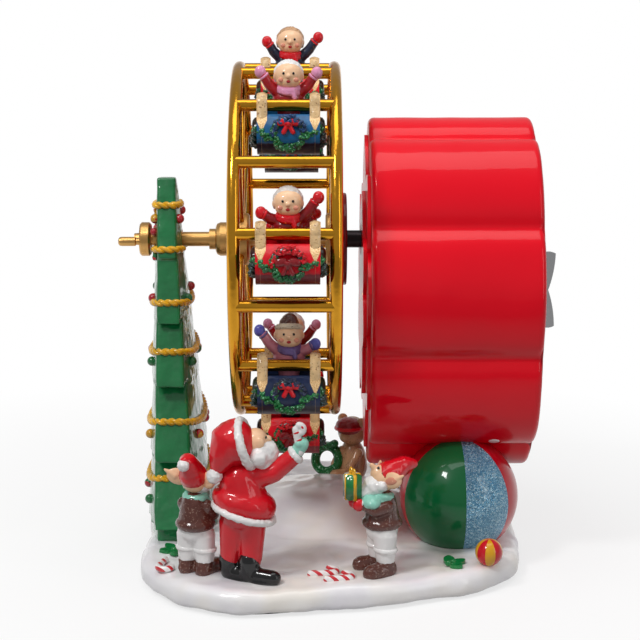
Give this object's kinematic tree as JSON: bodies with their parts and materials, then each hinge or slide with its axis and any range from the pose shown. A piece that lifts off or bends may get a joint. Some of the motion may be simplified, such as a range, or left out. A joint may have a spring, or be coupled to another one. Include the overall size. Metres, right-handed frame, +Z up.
{
  "type": "musical ferris wheel",
  "caption": "Wind-up musical ferris wheel with hanging gondolas and riders, a fir tree stand, a flower-shaped movement housing and figures on a snowy base.",
  "frame": {"origin": "on the resting face of the base, straight below the middle of the wheel", "axes": "+X along the wheel's axle towards the winding key, -Y towards the standing figures, +Z up"},
  "size_m": [0.2368, 0.2492, 0.2829],
  "materials": {
    "snow": "glossy varnished resin",
    "felt": "short-pile felt",
    "tree_green": "glossy varnished resin",
    "garland_gold": "gold paint under varnish",
    "bead_red": "glossy varnished resin",
    "polished_gold": "polished, gold plated",
    "satin_brass": "satin",
    "shaft_steel": "blackened, polished",
    "disc_red": "gloss paint",
    "car_red": "glossy varnished resin",
    "car_blue": "glossy varnished resin",
    "car_navy": "glossy varnished resin",
    "rider_red": "glossy varnished resin",
    "rider_navy": "glossy varnished resin",
    "rider_pink": "glossy varnished resin",
    "housing_red": "high gloss paint",
    "cover_red": "semi gloss",
    "steel": "plain",
    "spring_steel": "blued",
    "movement_brass": "turned",
    "movement_iron": "machined",
    "ball_paint": "glossy varnished resin",
    "bear_tan": "glossy varnished resin",
    "wreath_green": "glossy varnished resin",
    "coat_red": "glossy varnished resin",
    "elf_brown": "glossy varnished resin",
    "candy": "glossy varnished resin",
    "holly_green": "glossy varnished resin",
    "key_chrome": "polished"
  },
  "bodies": {
    "stand": {"snow_base": "snow", "underside_felt": "felt", "tree": "tree_green", "tree_garlands": "garland_gold", "tree_ornaments": "bead_red", "tree_bush": "satin_brass", "housing": "housing_red", "housing_petals": "housing_red", "housing_bush": "movement_brass", "movement_cover": "cover_red", "cover_screws": "steel", "bedplate": "movement_iron", "comb": "steel", "comb_screws": "steel", "toy_balls": "ball_paint", "teddy_bear": "bear_tan", "wreath": "wreath_green", "figure_red_coat": "coat_red", "elf_left": "elf_brown", "elf_right": "elf_brown", "candy_canes": "candy", "holly_sprigs": "holly_green", "striped_ball": "candy"},
    "wheel": {"ring_front": "polished_gold", "ring_rear": "polished_gold", "hub_front": "satin_brass", "hub_rear": "satin_brass", "gondola_rungs": "polished_gold", "brace_rungs": "polished_gold", "spokes_front": "polished_gold", "spokes_rear": "polished_gold", "wheel_disc": "disc_red", "axle": "satin_brass", "axle_collar": "satin_brass", "crank_disc": "satin_brass", "crank_pin": "satin_brass", "drive_shaft": "shaft_steel", "wheel_gear": "movement_brass"},
    "barrel": {"spring_barrel": "movement_brass", "mainspring": "spring_steel"},
    "cylinder": {"music_cylinder": "movement_brass"},
    "governor_rotor": {"governor": "movement_brass"},
    "key": {"winding_key": "key_chrome"},
    "gondola_body_1": {"gondola_1": "car_red", "rider_1": "rider_red"},
    "gondola_body_2": {"gondola_2": "car_blue", "rider_2": "rider_red"},
    "gondola_body_3": {"gondola_3": "car_red", "rider_3": "rider_navy"},
    "gondola_body_4": {"gondola_4": "car_blue", "rider_4": "rider_pink"},
    "gondola_body_5": {"gondola_5": "car_red", "rider_5": "rider_red"},
    "gondola_body_6": {"gondola_6": "car_blue", "rider_6": "rider_red"},
    "gondola_body_7": {"gondola_7": "car_red", "rider_7": "rider_navy"},
    "gondola_body_8": {"gondola_8": "car_navy", "rider_8": "rider_pink"}
  },
  "joints": [
    {"name": "wheel_spin", "type": "hinge", "parent": "stand", "child": "wheel", "pos_m": [0, 0, 0.169], "axis": [1, 0, 0], "continuous": true},
    {"name": "gondola_swing_1", "type": "hinge", "parent": "wheel", "child": "gondola_body_1", "pos_m": [0, -0.09087, 0.18339], "axis": [1, 0, 0], "continuous": true},
    {"name": "gondola_swing_2", "type": "hinge", "parent": "wheel", "child": "gondola_body_2", "pos_m": [0, -0.05408, 0.24343], "axis": [1, 0, 0], "continuous": true},
    {"name": "gondola_swing_3", "type": "hinge", "parent": "wheel", "child": "gondola_body_3", "pos_m": [0, 0.01439, 0.25987], "axis": [1, 0, 0], "continuous": true},
    {"name": "gondola_swing_4", "type": "hinge", "parent": "wheel", "child": "gondola_body_4", "pos_m": [0, 0.07443, 0.22308], "axis": [1, 0, 0], "continuous": true},
    {"name": "gondola_swing_5", "type": "hinge", "parent": "wheel", "child": "gondola_body_5", "pos_m": [0, 0.09087, 0.15461], "axis": [1, 0, 0], "continuous": true},
    {"name": "gondola_swing_6", "type": "hinge", "parent": "wheel", "child": "gondola_body_6", "pos_m": [0, 0.05408, 0.09457], "axis": [1, 0, 0], "continuous": true},
    {"name": "gondola_swing_7", "type": "hinge", "parent": "wheel", "child": "gondola_body_7", "pos_m": [0, -0.01439, 0.07813], "axis": [1, 0, 0], "continuous": true},
    {"name": "gondola_swing_8", "type": "hinge", "parent": "wheel", "child": "gondola_body_8", "pos_m": [0, -0.07443, 0.11492], "axis": [1, 0, 0], "continuous": true},
    {"name": "barrel_turn", "type": "hinge", "parent": "stand", "child": "barrel", "pos_m": [0, 0, 0.141], "axis": [1, 0, 0], "continuous": true},
    {"name": "cylinder_turn", "type": "hinge", "parent": "stand", "child": "cylinder", "pos_m": [0, 0.024, 0.141], "axis": [1, 0, 0], "continuous": true},
    {"name": "governor_turn", "type": "hinge", "parent": "stand", "child": "governor_rotor", "pos_m": [0, 0.0312, 0.12853], "axis": [1, 0, 0], "continuous": true},
    {"name": "key_wind", "type": "hinge", "parent": "stand", "child": "key", "pos_m": [0, 0, 0.141], "axis": [1, 0, 0], "continuous": true}
  ],
  "couplings": [
    {"joint": "gondola_swing_1", "follows": "wheel_spin", "ratio": -1},
    {"joint": "gondola_swing_2", "follows": "wheel_spin", "ratio": -1},
    {"joint": "gondola_swing_3", "follows": "wheel_spin", "ratio": -1},
    {"joint": "gondola_swing_4", "follows": "wheel_spin", "ratio": -1},
    {"joint": "gondola_swing_5", "follows": "wheel_spin", "ratio": -1},
    {"joint": "gondola_swing_6", "follows": "wheel_spin", "ratio": -1},
    {"joint": "gondola_swing_7", "follows": "wheel_spin", "ratio": -1},
    {"joint": "gondola_swing_8", "follows": "wheel_spin", "ratio": -1},
    {"joint": "barrel_turn", "follows": "wheel_spin", "ratio": -0.75},
    {"joint": "cylinder_turn", "follows": "wheel_spin", "ratio": 1.5},
    {"joint": "governor_turn", "follows": "wheel_spin", "ratio": -4.5}
  ]
}
